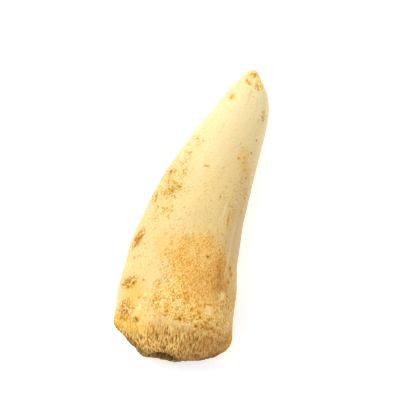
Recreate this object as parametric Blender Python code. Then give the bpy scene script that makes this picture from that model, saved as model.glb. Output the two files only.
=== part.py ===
"""Fossil fish tooth: one worn fang with its root end broken off, lying on its flatter side.

The tooth grew as one piece, so it is one solid, lofted from section to section. Its long axis
runs along +Y, from the broken root end to the tip. The rounder face looks up (+Z), the keeled
edge is at -X, and a worn flat on the underside rests on z = 0. The origin is at the middle of
the box around the tooth, at its bottom.
"""

import math

import bmesh
import bpy
import numpy as np

MM = 0.001

# Driving dimensions, in millimetres: MM turns the finished points into metres.
LENGTH = 42.5
WIDTH = 17.25
THICKNESS = 9.8

# Fineness of the loft: columns around, and steps along the root, the crown and the tip, which
# begin this far from the lip.
COLUMNS = 72
ROOT_STEP = 0.5
CROWN_ROWS_START, CROWN_STEP = 3.5, 1.25
TIP_ROWS_START, TIP_STEP = 38.0, 0.45
END_ROWS = 7
HOLLOW_ROWS = 3

# Outline seen from above: (share of the length from the root end, share of the width).
LEFT_EDGE = (
    (0.00, -0.454), (0.10, -0.468), (0.178, -0.484), (0.275, -0.506), (0.372, -0.501),
    (0.469, -0.476), (0.566, -0.432), (0.664, -0.366), (0.760, -0.284), (0.855, -0.190),
    (0.903, -0.151), (0.950, -0.090), (1.00, -0.030),
)
RIGHT_EDGE = (
    (0.00, 0.494), (0.110, 0.504), (0.168, 0.469), (0.239, 0.420), (0.334, 0.375),
    (0.429, 0.326), (0.524, 0.292), (0.666, 0.268), (0.761, 0.256), (0.855, 0.233),
    (0.900, 0.202), (0.927, 0.170), (0.950, 0.127), (1.00, 0.056),
)

# Outline seen from the side: (share of the length, share of the thickness). Where the
# underside reaches below zero it is worn flat.
TOP = (
    (0.00, 0.97), (0.10, 1.00), (0.24, 0.97), (0.43, 0.875), (0.62, 0.76), (0.80, 0.625),
    (0.90, 0.54), (1.00, 0.43),
)
UNDERSIDE = (
    (0.00, 0.03), (0.05, -0.010), (0.10, -0.034), (0.28, -0.040), (0.47, -0.026),
    (0.57, 0.00), (0.66, 0.032), (0.76, 0.079), (0.86, 0.142), (1.00, 0.27),
)

# Shape of a section: how high the widest line lies, how far the crest leans to +X, and how
# sharp the keel is, from 0 for round to 1 for a knife edge.
WIDEST_LINE = 0.42
CREST_LEAN = ((0.00, 0.04), (0.25, 0.12), (0.60, 0.22), (0.90, 0.16), (1.00, 0.0))
KEEL = ((0.00, 0.0), (0.15, 0.10), (0.35, 0.45), (0.80, 0.60), (1.00, 0.25))

# Blunt tip: the last stretch of the length closes like the end of an egg, in rings at these
# shares of it from the very end.
TIP_STARTS = 0.974
TIP_RINGS = (0.80, 0.55, 0.30, 0.14, 0.04)

# Broken root end: (share of the width, share of the length) of the edge where the upper face
# turns down, and of the edge where the underside turns up. The two blend at the flanks, over
# this much of the sine of the angle around. Both are ragged: waves around the end, phase and
# height as a share of the length. The wall is rounded off before them like the quarter of an
# ellipse: its depth on top at shares of the width, its depth beneath, and its reach.
UPPER_LIP = (
    (-0.452, 0.066), (-0.41, 0.048), (-0.20, 0.038), (-0.05, 0.068), (0.10, 0.088),
    (0.28, 0.114), (0.43, 0.108), (0.50, 0.094),
)
LOWER_LIP = (
    (-0.452, 0.066), (-0.38, 0.049), (-0.25, 0.033), (-0.18, 0.022), (-0.11, 0.020),
    (0.03, 0.045), (0.18, 0.066), (0.32, 0.079), (0.44, 0.086), (0.50, 0.094),
)
LIP_BLEND = (-0.25, 0.25)
LIP_RAGGED = ((9, 0.4, 0.0022), (14, 2.0, 0.0020), (23, 5.1, 0.0016))
LIP_ROUNDING = ((-0.45, 1.0), (-0.28, 2.2), (0.05, 2.2), (0.25, 1.3), (0.50, 0.9))
LIP_ROUNDING_BENEATH, LIP_ROUNDING_REACH = 0.4, 3.8

# Surface of the broken end: how far it swells out, as (share of the width, millimetres), and its
# lumps, as (waves per millimetre along x, phase, waves per millimetre along z, phase, height).
END_BULGE = (
    (-0.36, 0.12), (-0.24, 0.08), (-0.14, 0.36), (0.00, 0.0), (0.09, -0.1), (0.15, -0.24),
    (0.25, -0.30), (0.34, -0.02), (0.42, 0.0),
)
END_LUMPS = ((1.15, 0.5, 0.95, 1.0, 0.16), (2.1, 2.2, 1.6, 0.3, 0.09))

# Hollow of the pulp, which opens low in the root end: centre (x, y, z), half width and half
# height of its mouth, how far the mouth leans back for each millimetre up, and depth.
HOLLOW_CENTRE = (0.35, 0.72, 2.3)
HOLLOW_HALF_WIDTH = 1.55
HOLLOW_HALF_HEIGHT = 1.1
HOLLOW_TILT = 0.3
HOLLOW_DEPTH = 1.8
HOLLOW_RAGGED = ((5, 0.7, 0.08), (8, 2.0, 0.06))

# Swollen lobe beside the hollow: centre (x, z), reach and height.
LOBE_CENTRE = (-2.4, 2.4)
LOBE_REACH = 1.7
LOBE_HEIGHT = 0.55

# Coarse fibres on the root end: (number around the end, phase, half the depth), and the room
# between hollow and lip at which they stand full. Between the two they wander sideways in
# waves of the first kind, and are broken into lumps by waves of the second, both given as
# (waves from lip to hollow, waves around, size).
END_FIBRES = ((24, 1.3, 0.10), (17, 0.4, 0.09), (7, 2.1, 0.08))
FIBRES_NEED = 5.0
FIBRE_WANDER = (3.0, 2, 0.35)
FIBRE_BREAKS = (9.0, 5, 0.40)

# Low lumps of the root half: (waves along, waves around, phase, height). They fade out between
# two shares of the length.
LUMPS = ((9.0, 3, 0.6, 0.08), (14.0, 5, 2.4, 0.06), (5.0, 2, 4.0, 0.07))
LUMPS_FADE = (0.35, 0.62)

# Pits on the upper face, which begins at the flank over this much of the sine of the angle
# around: (x, y, reach, depth).
UPPER_FACE = (-0.1, 0.15)
PITS = (
    (-7.9, 15.0, 0.55, 0.28), (-7.2, 8.4, 0.75, 0.34), (-6.4, 4.2, 0.70, 0.30),
    (-4.6, 3.5, 0.50, 0.25), (1.2, 5.4, 0.50, 0.22), (5.4, 4.2, 0.60, 0.25),
)

# Shallow furrow that runs along the right flank: (y, x) along it, the stretches over which it
# fades in and out, half width and depth.
FURROW = ((9.0, 5.6), (14.0, 5.1), (19.0, 4.6), (24.0, 4.0), (30.0, 3.4))
FURROW_STARTS, FURROW_ENDS = (9.0, 12.0), (26.0, 30.0)
FURROW_HALF_WIDTH = 0.45
FURROW_DEPTH = 0.14

# Chipped tip: past this line, (x, y), it lost its skin down to a ledge. The ledge's face is
# twice this wide, and it fades in and out between two places each.
CHIP_EDGE = ((-1.2, 40.6), (-0.4, 40.3), (1.0, 39.8), (2.0, 39.45), (2.8, 39.4), (3.6, 39.4))
CHIP_DEPTH = 0.24
LEDGE_HALF_WIDTH = 0.12
CHIP_STARTS, CHIP_ENDS = (-0.9, -0.1), (1.3, 2.6)

FOSSIL_COLOUR = (0.78, 0.58, 0.29, 1.0)
FOSSIL_ROUGHNESS = 0.55
SHARP_EDGE = math.radians(50.0)


def clear_scene():
    for thing in list(bpy.data.objects):
        bpy.data.objects.remove(thing, do_unlink=True)


def curve(points, at):
    """Smooth curve through (place, value) points, read at each place and never overshooting."""
    place, value = np.array(points, float).T
    step = np.diff(place)
    rise = np.diff(value) / step
    same_way = rise[:-1] * rise[1:] > 0
    spread = np.where(same_way, rise[:-1] + rise[1:], 1.0)
    inner = np.where(same_way, 2.0 * rise[:-1] * rise[1:] / spread, 0.0)
    slope = np.concatenate([rise[:1], inner, rise[-1:]])
    at = np.clip(at, place[0], place[-1])
    left = np.clip(np.searchsorted(place, at, side="right") - 1, 0, len(step) - 1)
    part = (at - place[left]) / step[left]
    rest = 1.0 - part
    ends = value[left] * rest**2 * (1 + 2 * part) + value[left + 1] * part**2 * (1 + 2 * rest)
    bend = step[left] * part * rest * (slope[left] * rest - slope[left + 1] * part)
    return ends + bend


def ramp(at, start, end):
    """0 before start, 1 after end and smooth between them."""
    share = np.clip((at - start) / (end - start), 0.0, 1.0)
    return share * share * (3.0 - 2.0 * share)


def bump(distance, reach):
    """1 at the middle and next to nothing at twice the reach."""
    return np.exp(-((distance / reach) ** 2))


def fade(at, starts, ends):
    """Rises from 0 to 1 over the first stretch and falls back to 0 over the second."""
    return ramp(at, *starts) * (1.0 - ramp(at, *ends))


def waves_round(waves, angle):
    """Sum of waves around the tooth, each given as (number, phase, height)."""
    return sum(height * np.sin(number * angle + phase) for number, phase, height in waves)


def tip_closing(along):
    """1 up to where the tip starts to close, then down to 0 in a quarter of an ellipse."""
    share = np.clip((along - TIP_STARTS) / (1.0 - TIP_STARTS), 0.0, 1.0)
    return np.sqrt(1.0 - share**2)


def wall(angle, along):
    """Points of the tooth's wall at each angle and share of the length."""
    across, up = np.cos(angle), np.sin(angle)
    left, right = curve(LEFT_EDGE, along) * WIDTH, curve(RIGHT_EDGE, along) * WIDTH
    top, under = curve(TOP, along) * THICKNESS, curve(UNDERSIDE, along) * THICKNESS
    closing = tip_closing(along)
    widest = under + WIDEST_LINE * (top - under)
    reach = np.where(up > 0, top - widest, widest - under) * closing
    sharpness = 1.0 + curve(KEEL, along) * ((1.0 - across) / 2.0) ** 2
    lean = curve(CREST_LEAN, along)
    x = (left + right) / 2.0 + (right - left) / 2.0 * closing * (across + lean * up**2)
    z = widest + reach * np.sign(up) * np.abs(up) ** sharpness
    return np.stack([x, along * LENGTH, z], axis=-1)


def lip(angle):
    """Share of the length at which each column of the wall begins."""
    base = wall(angle, np.zeros_like(angle))[..., 0] / WIDTH
    upper, lower = curve(UPPER_LIP, base), curve(LOWER_LIP, base)
    weight = ramp(np.sin(angle), *LIP_BLEND)
    return upper * weight + lower * (1.0 - weight) + waves_round(LIP_RAGGED, angle)


def wall_rows():
    """Shares of each column at which the rings lie: closer at the lip and at the tip."""
    root = np.arange(0.0, CROWN_ROWS_START, ROOT_STEP)
    crown = np.arange(CROWN_ROWS_START, TIP_ROWS_START, CROWN_STEP)
    chip = np.arange(TIP_ROWS_START, TIP_STARTS * LENGTH, TIP_STEP)
    tip = 1.0 - (1.0 - TIP_STARTS) * np.array(TIP_RINGS)
    return np.concatenate([root / LENGTH, crown / LENGTH, chip / LENGTH, tip])


def outward(grid):
    """Unit normals of a grid of rings, pointing out of the tooth."""
    along = np.gradient(grid, axis=0)
    around = np.roll(grid, -1, axis=1) - np.roll(grid, 1, axis=1)
    normals = np.cross(along, around)
    return normals / np.linalg.norm(normals, axis=-1, keepdims=True)


def lumps_and_pits(x, y, angle, along):
    """Height of the root's lumps less the depth of the pits."""
    height = np.zeros_like(x)
    for waves, around, phase, size in LUMPS:
        height += size * np.sin(waves * along * math.pi + around * angle + phase)
    height *= 1.0 - ramp(along, *LUMPS_FADE)
    upper = ramp(np.sin(angle), *UPPER_FACE)
    for pit_x, pit_y, reach, depth in PITS:
        height -= depth * upper * bump(np.hypot(x - pit_x, y - pit_y), reach)
    return height


def furrow_depth(x, y, angle):
    inside = fade(y, FURROW_STARTS, FURROW_ENDS) * ramp(np.sin(angle), *UPPER_FACE)
    return FURROW_DEPTH * inside * bump(x - curve(FURROW, y), FURROW_HALF_WIDTH)


def chip_depth(x, y):
    past = ramp(y - curve(CHIP_EDGE, x), -LEDGE_HALF_WIDTH, LEDGE_HALF_WIDTH)
    return CHIP_DEPTH * past * fade(x, CHIP_STARTS, CHIP_ENDS)


def round_lip(grid, angle, distance):
    """Draws the first rings in towards the middle, so that the wall ends in a rounded edge."""
    inward = grid.mean(axis=1, keepdims=True) - grid
    inward[..., 1] = 0.0
    inward /= np.linalg.norm(inward, axis=-1, keepdims=True)
    upper = np.maximum(np.sin(angle), 0.0)
    depth = curve(LIP_ROUNDING, grid[..., 0] / WIDTH) * upper
    depth += LIP_ROUNDING_BENEATH * (1.0 - upper)
    near = np.clip(1.0 - distance / LIP_ROUNDING_REACH, 0.0, 1.0)
    return grid + inward * (depth * (1.0 - np.sqrt(1.0 - near**2)))[..., None]


def rested(grid):
    """Wears the underside flat at the surface that the tooth rests on."""
    grid[..., 2] = np.maximum(grid[..., 2], 0.0)
    return grid


def wall_grid(angle):
    """Rings of the wall from the lip to just short of the tip."""
    start = lip(angle)[None, :]
    along = start + (1.0 - start) * wall_rows()[:, None]
    grid = wall(np.broadcast_to(angle, along.shape), along)
    x, y = grid[..., 0], grid[..., 1]
    height = lumps_and_pits(x, y, angle, along)
    height -= furrow_depth(x, y, angle) + chip_depth(x, y)
    distance = (along - start) * LENGTH
    return rested(round_lip(grid + outward(grid) * height[..., None], angle, distance))


def hollow_mouth(angle, size):
    """A ring of the hollow at a share of its mouth's size, at the mouth's depth."""
    x, y, z = HOLLOW_CENTRE
    ragged = size * (1.0 + waves_round(HOLLOW_RAGGED, angle))
    return np.stack([
        x + HOLLOW_HALF_WIDTH * ragged * np.cos(angle),
        y + HOLLOW_TILT * HOLLOW_HALF_HEIGHT * ragged * np.sin(angle),
        z + HOLLOW_HALF_HEIGHT * ragged * np.sin(angle),
    ], axis=-1)


def end_fibres(angle, share):
    """Height of the broken end's fibres at shares of the way from lip to hollow."""
    waves, around, size = FIBRE_WANDER
    wandering = angle + size * np.sin(waves * share + around * angle)
    waves, around, size = FIBRE_BREAKS
    broken = 1.0 - size + size * np.sin(waves * share + around * angle)
    return waves_round(END_FIBRES, wandering) * broken


def end_grid(angle, lip_ring):
    """Rings of the broken end, from the hollow's mouth out to just inside the lip."""
    share = np.linspace(1.0, 0.0, END_ROWS + 1)[:-1, None]
    mouth = hollow_mouth(angle, 1.0)
    grid = lip_ring * (1.0 - share[..., None]) + mouth * share[..., None]
    x, z = grid[..., 0], grid[..., 2]
    # The square rounds the end: steep below the lip, and straight across at the hollow.
    y = mouth[:, 1] + (lip_ring - mouth)[:, 1] * (1.0 - share) ** 2
    swell = 4.0 * share * (1.0 - share)
    room = np.linalg.norm((lip_ring - mouth)[:, [0, 2]], axis=-1)
    fibres = end_fibres(angle, share) * np.minimum(1.0, room / FIBRES_NEED)
    lumps = sum(
        height * np.sin(waves_x * x + phase_x) * np.sin(waves_z * z + phase_z)
        for waves_x, phase_x, waves_z, phase_z, height in END_LUMPS
    )
    lobe = LOBE_HEIGHT * bump(np.hypot(x - LOBE_CENTRE[0], z - LOBE_CENTRE[1]), LOBE_REACH)
    lobe *= np.minimum(1.0, 2.0 * swell)
    bulge = curve(END_BULGE, x / WIDTH) + lumps
    grid[..., 1] = y - bulge * swell - fibres * np.sqrt(swell) - lobe
    return rested(grid)


def hollow_grid(angle):
    """Rings of the hollow's inside, a bowl, from near its floor out to just inside the mouth."""
    rings = []
    for turn in np.linspace(0.0, math.pi / 2.0, HOLLOW_ROWS + 2)[1:-1]:
        ring = hollow_mouth(angle, math.sin(turn))
        ring[:, 1] += HOLLOW_DEPTH * math.cos(turn)
        rings.append(ring)
    return np.array(rings)


def tooth_points():
    """All rings from the hollow's floor round the lip to the tip, and the two end points."""
    angle = np.linspace(0.0, 2.0 * math.pi, COLUMNS, endpoint=False)
    sides = wall_grid(angle)
    rings = np.concatenate([hollow_grid(angle), end_grid(angle, sides[0]), sides])
    floor = np.array(HOLLOW_CENTRE) + (0.0, HOLLOW_DEPTH, 0.0)
    return rings, floor, sides[-1].mean(axis=0)


def centred(rings, floor, tip):
    """The same points in metres, with the origin at the middle of the tooth's footprint."""
    low = np.minimum(rings.min(axis=(0, 1)), tip)
    high = np.maximum(rings.max(axis=(0, 1)), tip)
    origin = np.array([(low[0] + high[0]) / 2.0, (low[1] + high[1]) / 2.0, low[2]])
    return (rings - origin) * MM, (floor - origin) * MM, (tip - origin) * MM


def loft(rings, first, last):
    """A closed mesh through the rings, with a fan from a point at either end."""
    mesh = bmesh.new()
    loops = [[mesh.verts.new(point) for point in ring] for ring in rings.tolist()]
    start, end = mesh.verts.new(first.tolist()), mesh.verts.new(last.tolist())
    for lower, upper in zip(loops, loops[1:]):
        for i in range(COLUMNS):
            j = (i + 1) % COLUMNS
            mesh.faces.new((lower[i], upper[i], upper[j], lower[j]))
    for i in range(COLUMNS):
        j = (i + 1) % COLUMNS
        mesh.faces.new((start, loops[0][i], loops[0][j]))
        mesh.faces.new((end, loops[-1][j], loops[-1][i]))
    bmesh.ops.recalc_face_normals(mesh, faces=mesh.faces)
    return mesh


def fossil_material():
    material = bpy.data.materials.new("fossil tooth")
    material.use_nodes = True
    shader = material.node_tree.nodes["Principled BSDF"]
    shader.inputs["Base Color"].default_value = FOSSIL_COLOUR
    shader.inputs["Roughness"].default_value = FOSSIL_ROUGHNESS
    shader.inputs["Metallic"].default_value = 0.0
    return material


def make_tooth(collection):
    rings, floor, tip = centred(*tooth_points())
    mesh = loft(rings, floor, tip)
    data = bpy.data.meshes.new("tooth")
    mesh.to_mesh(data)
    mesh.free()
    data.materials.append(fossil_material())
    data.shade_smooth()
    data.set_sharp_from_angle(angle=SHARP_EDGE)
    tooth = bpy.data.objects.new("tooth", data)
    collection.objects.link(tooth)


def main():
    clear_scene()
    collection = bpy.data.collections.new("fossil fish tooth")
    bpy.context.scene.collection.children.link(collection)
    make_tooth(collection)


main()
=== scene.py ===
"""The fossil fish tooth dressed: its skin in fine relief, its stained finish, and a pale studio.

The tooth is one piece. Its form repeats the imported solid's, section by section and far finer,
and a node tree raises the grain, fibres and pits on it. Lengths are in millimetres, x across
and y from the broken root end, until MM turns the finished points into metres.
"""

import math

import bpy
import numpy as np
from mathutils import Matrix, Vector


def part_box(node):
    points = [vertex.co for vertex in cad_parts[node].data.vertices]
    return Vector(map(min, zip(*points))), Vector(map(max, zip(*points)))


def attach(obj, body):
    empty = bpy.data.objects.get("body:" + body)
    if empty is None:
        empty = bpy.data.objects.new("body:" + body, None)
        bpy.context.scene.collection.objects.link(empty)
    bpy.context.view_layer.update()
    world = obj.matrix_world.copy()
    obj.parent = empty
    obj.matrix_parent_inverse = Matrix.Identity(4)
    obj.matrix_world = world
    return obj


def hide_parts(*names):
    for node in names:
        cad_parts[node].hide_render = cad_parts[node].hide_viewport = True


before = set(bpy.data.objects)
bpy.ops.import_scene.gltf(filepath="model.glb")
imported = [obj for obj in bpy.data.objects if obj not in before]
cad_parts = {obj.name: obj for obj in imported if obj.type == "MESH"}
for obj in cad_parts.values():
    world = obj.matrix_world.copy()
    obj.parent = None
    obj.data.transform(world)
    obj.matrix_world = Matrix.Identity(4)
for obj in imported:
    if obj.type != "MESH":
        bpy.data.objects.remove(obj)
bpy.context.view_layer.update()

MM = 0.001

# The form of the tooth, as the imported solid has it. Its edges, top and underside are shares of
# the width and the thickness at shares of the length.
LENGTH = 42.5
WIDTH = 17.25
THICKNESS = 9.8
LEFT_EDGE = (
    (0.00, -0.454), (0.10, -0.468), (0.178, -0.484), (0.275, -0.506), (0.372, -0.501),
    (0.469, -0.476), (0.566, -0.432), (0.664, -0.366), (0.760, -0.284), (0.855, -0.190),
    (0.903, -0.151), (0.950, -0.090), (1.00, -0.030),
)
RIGHT_EDGE = (
    (0.00, 0.494), (0.110, 0.504), (0.168, 0.469), (0.239, 0.420), (0.334, 0.375),
    (0.429, 0.326), (0.524, 0.292), (0.666, 0.268), (0.761, 0.256), (0.855, 0.233),
    (0.900, 0.202), (0.927, 0.170), (0.950, 0.127), (1.00, 0.056),
)
TOP = (
    (0.00, 0.97), (0.10, 1.00), (0.24, 0.97), (0.43, 0.875), (0.62, 0.76), (0.80, 0.625),
    (0.90, 0.54), (1.00, 0.43),
)
UNDERSIDE = (
    (0.00, 0.03), (0.05, -0.010), (0.10, -0.034), (0.28, -0.040), (0.47, -0.026),
    (0.57, 0.00), (0.66, 0.032), (0.76, 0.079), (0.86, 0.142), (1.00, 0.27),
)
WIDEST_LINE = 0.42
CREST_LEAN = ((0.00, 0.04), (0.25, 0.12), (0.60, 0.22), (0.90, 0.16), (1.00, 0.0))
KEEL = ((0.00, 0.0), (0.15, 0.10), (0.35, 0.45), (0.80, 0.60), (1.00, 0.25))
TIP_STARTS = 0.974

# The broken end: its lip as (share of the width, share of the length), and its waves as
# (number around, phase, height).
UPPER_LIP = (
    (-0.452, 0.066), (-0.41, 0.048), (-0.20, 0.038), (-0.05, 0.068), (0.10, 0.088),
    (0.28, 0.114), (0.43, 0.108), (0.50, 0.094),
)
LOWER_LIP = (
    (-0.452, 0.066), (-0.38, 0.049), (-0.25, 0.033), (-0.18, 0.022), (-0.11, 0.020),
    (0.03, 0.045), (0.18, 0.066), (0.32, 0.079), (0.44, 0.086), (0.50, 0.094),
)
LIP_BLEND = (-0.25, 0.25)
LIP_RAGGED = ((9, 0.4, 0.0022), (14, 2.0, 0.0020), (23, 5.1, 0.0016))
LIP_ROUNDING = ((-0.45, 1.0), (-0.28, 2.2), (0.05, 2.2), (0.25, 1.3), (0.50, 0.9))
LIP_ROUNDING_BENEATH, LIP_ROUNDING_REACH = 0.4, 3.8
END_BULGE = (
    (-0.36, 0.12), (-0.24, 0.08), (-0.14, 0.36), (0.00, 0.0), (0.09, -0.1), (0.15, -0.24),
    (0.25, -0.30), (0.34, -0.02), (0.42, 0.0),
)
END_LUMPS = ((1.15, 0.5, 0.95, 1.0, 0.16), (2.1, 2.2, 1.6, 0.3, 0.09))
HOLLOW_CENTRE = (0.35, 0.72, 2.3)
HOLLOW_HALF_WIDTH = 1.55
HOLLOW_HALF_HEIGHT = 1.1
HOLLOW_TILT = 0.3
HOLLOW_DEPTH = 1.8
HOLLOW_RAGGED = ((5, 0.7, 0.08), (8, 2.0, 0.06))
LOBE_CENTRE = (-2.4, 2.4)
LOBE_REACH = 1.7
LOBE_HEIGHT = 0.55
END_FIBRES = ((24, 1.3, 0.10), (17, 0.4, 0.09), (7, 2.1, 0.08))
FIBRES_NEED = 5.0
FIBRE_WANDER = (3.0, 2, 0.35)
FIBRE_BREAKS = (9.0, 5, 0.40)

# Lumps, pits as (x, y, reach, depth), furrow and chip of the wall.
LUMPS = ((9.0, 3, 0.6, 0.08), (14.0, 5, 2.4, 0.06), (5.0, 2, 4.0, 0.07))
LUMPS_FADE = (0.35, 0.62)
UPPER_FACE = (-0.1, 0.15)
PITS = (
    (-7.9, 15.0, 0.55, 0.28), (-7.2, 8.4, 0.75, 0.34), (-6.4, 4.2, 0.70, 0.30),
    (-4.6, 3.5, 0.50, 0.25), (1.2, 5.4, 0.50, 0.22), (5.4, 4.2, 0.60, 0.25),
)
FURROW = ((9.0, 5.6), (14.0, 5.1), (19.0, 4.6), (24.0, 4.0), (30.0, 3.4))
FURROW_STARTS, FURROW_ENDS = (9.0, 12.0), (26.0, 30.0)
FURROW_HALF_WIDTH = 0.45
FURROW_DEPTH = 0.14
CHIP_EDGE = ((-1.2, 40.6), (-0.4, 40.3), (1.0, 39.8), (2.0, 39.45), (2.8, 39.4), (3.6, 39.4))
CHIP_DEPTH = 0.24
LEDGE_HALF_WIDTH = 0.12
CHIP_STARTS, CHIP_ENDS = (-0.9, -0.1), (1.3, 2.6)

# Fineness of the visible skin: columns around, rings of the broken end and of the hollow, the
# wall's rings as (first place, spacing), and those of the closing tip.
COLUMNS = 330
END_ROWS = 46
HOLLOW_ROWS = 12
WALL_STEPS = ((0.0, 0.15), (19.0, 0.26), (36.5, 0.15))
TIP_RINGS = (0.90, 0.80, 0.70, 0.60, 0.50, 0.40, 0.31, 0.23, 0.16, 0.10, 0.055, 0.02)

# Relief that the node tree raises on the skin, in millimetres.
RELIEF = {
    "Grain size": 0.26,
    "Grain height": 0.028,
    "Fibre width": 0.22,
    "Fibre height": 0.045,
    "Pore spacing": 1.0,
    "Pore depth": 0.09,
    "Enamel wave": 2.6,
    "Enamel height": 0.030,
    "Chip grain": 0.55,
    "Chip height": 0.07,
    "Mark depth": -0.05,
    "Crumb size": 0.27,
    "Crumb height": 0.07,
    "Seed": 4.0,
}

# The patches below lie on the upper face, as (x, y, half width, half length, strength). A rim
# says where a patch starts to fade and where it ends, in half widths from its middle.
CRISP_RIM, SOFT_RIM = (0.65, 1.35), (0.3, 1.5)
BARE_RIM, CRUMBLED_RIM = (0.3, 1.6), (0.3, 1.4)
BROWN_RIM, TAN_RIM = (0.2, 1.5), (0.0, 1.6)

# Where the smooth skin is worn through to the fibrous bone of the root.
BARE_PATCHES = (
    (1.9, 12.0, 4.2, 5.2, 1.0), (-2.4, 14.0, 2.6, 2.6, 0.4), (2.9, 7.0, 4.6, 3.8, 0.9),
    (-2.0, 6.0, 3.0, 4.0, 0.5), (-6.1, 4.0, 2.0, 2.4, 0.45), (6.9, 7.5, 1.8, 4.0, 0.55),
    (-4.5, 9.0, 2.6, 3.0, 0.14),
)

# Ochre that has soaked into the enamel and the bone.
OCHRE_PATCHES = (
    (1.2, 13.0, 3.6, 3.8, 0.8), (-6.3, 21.0, 1.5, 3.4, 0.15), (-5.6, 24.0, 1.2, 2.4, 0.2),
    (2.4, 29.6, 0.8, 1.7, 0.5), (3.3, 27.6, 0.7, 1.4, 0.35), (4.4, 12.0, 1.6, 4.0, 0.3),
    (-3.2, 14.6, 2.2, 2.4, 0.5), (1.0, 16.3, 2.2, 1.6, 0.4), (3.6, 11.0, 2.2, 3.6, 0.7),
    (2.4, 8.2, 2.6, 2.0, 0.4),
)

# Golden stains of the root's left side and of the tip.
GOLD_PATCHES = (
    (-6.0, 6.8, 1.2, 2.6, 1.0), (-5.6, 2.8, 2.6, 1.8, 0.65), (-1.8, 2.9, 2.8, 1.4, 0.15),
    (-3.6, 4.6, 1.8, 1.8, 0.2), (-7.0, 7.6, 1.5, 2.4, 0.6), (-0.1, 40.0, 0.6, 0.35, 1.0),
    (-1.6, 37.4, 0.6, 0.7, 1.0), (0.4, 41.3, 0.6, 0.35, 0.7),
)

# Pale patches of the root.
PALE_PATCHES = (
    (-1.2, 4.0, 3.0, 1.1, 0.35), (4.5, 7.5, 0.9, 0.9, 0.9), (5.5, 10.1, 0.5, 1.0, 0.95),
    (2.5, 5.2, 0.7, 0.8, 0.6), (-7.2, 6.8, 0.8, 0.8, 0.3), (6.3, 4.9, 1.2, 0.5, 0.6),
    (0.6, 4.8, 2.2, 0.8, 0.5), (-2.2, 4.6, 3.6, 0.6, 0.35), (-5.4, 11.0, 2.2, 2.4, 0.25),
)

# Where specks crowd on the enamel.
SPECKLED_PATCHES = (
    (-6.3, 21.6, 1.8, 3.8, 0.8), (-5.5, 24.6, 1.4, 2.8, 0.8), (-4.7, 28.3, 1.0, 2.8, 0.6),
    (-3.7, 30.7, 0.8, 1.6, 0.4), (3.1, 24.0, 1.8, 4.0, 0.5), (1.5, 39.9, 0.8, 0.6, 0.6),
    (-2.0, 21.0, 3.6, 5.0, 0.35), (-6.6, 12.0, 2.2, 3.6, 0.5), (-5.4, 18.0, 2.4, 2.4, 0.4),
    (3.2, 36.0, 0.6, 1.0, 0.55),
)

# Where the surface has crumbled.
CRUMBLED_PATCHES = (
    (-8.0, 13.9, 0.5, 0.8, 0.7), (-7.8, 14.7, 0.6, 0.9, 0.8), (-7.55, 15.6, 0.5, 0.8, 0.7),
    (-7.2, 8.2, 1.0, 0.9, 0.8), (-6.5, 8.8, 0.6, 0.7, 0.7), (-6.6, 4.9, 0.9, 1.3, 0.8),
    (-6.0, 3.9, 0.8, 1.2, 0.7), (0.3, 41.4, 0.7, 0.35, 0.4), (1.6, 39.8, 0.5, 0.5, 0.4),
    (-4.6, 3.5, 0.7, 0.5, 0.5), (5.2, 5.0, 2.2, 0.8, 0.7), (1.6, 5.4, 1.3, 0.6, 0.6),
)

# Painted tan shade of the right side, and a faint band of it over the middle of the crown.
PAINTED_TAN_SHADE_PATCHES = (
    (6.2, 21.0, 3.0, 9.5, 1.0), (8.6, 10.0, 3.4, 8.0, 0.8), (1.2, 31.0, 2.4, 7.0, 0.25),
)

# Brown stains of the root. Those low on the right are also painted shade over the right of the
# broken end.
BROWN_PATCHES = (
    (5.8, 2.5, 4.2, 2.3, 0.95), (8.0, 4.6, 1.4, 2.2, 0.6), (4.2, 5.2, 1.2, 0.4, 0.7),
    (2.2, 4.2, 1.2, 0.6, 0.4), (4.4, 11.5, 2.6, 6.0, 0.25), (1.0, 13.0, 2.6, 3.4, 0.15),
)

# Pale scratch beside the furrow.
SCRATCH_OFFSET, SCRATCH_HALF_WIDTH, SCRATCH_STRENGTH = -0.15, 0.11, 0.4
SCRATCH_STARTS, SCRATCH_ENDS = (12.2, 13.2), (14.5, 19.0)

# Where one finish passes into the next, in millimetres apart from the upper side, which goes by
# the sine of the angle around the tooth.
UPPER_SIDE = (-0.35, 0.1)
OVER_LIP = (-0.4, 0.4)
BARE_BENEATH = (9.0, 17.0)
BARE_STRIP = (0.6, 3.2)
FIBRES_BLEND = (-1.3, 1.3)
HOLLOW_RIM = (-0.3, 0.5)
CHIP_ABOVE = (38.0, 39.0)
# The broken end's painted shade fades out between these heights above the floor.
LOW_SIDE = (2.5, 6.0)

# How far above the lip the broken fibres begin to show, as (x, height).
FIBRES_BEGIN = ((-8.0, 0.2), (-5.0, 0.5), (-3.0, 1.2), (0.0, 1.1), (2.5, 0.1), (8.0, 0.0))

# How far the hollow's painted shade reaches past its mouth, as (x, reach).
HOLLOW_SHADE_REACH = (
    (-1.6, -1.2), (-0.9, -0.3), (-0.2, 0.2), (0.5, -0.5), (1.1, -0.4), (1.6, 0.3), (2.6, 0.5),
)

# How far the spots below spread past their half widths, as a share.
SPOT_REACH = 1.25
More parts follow.
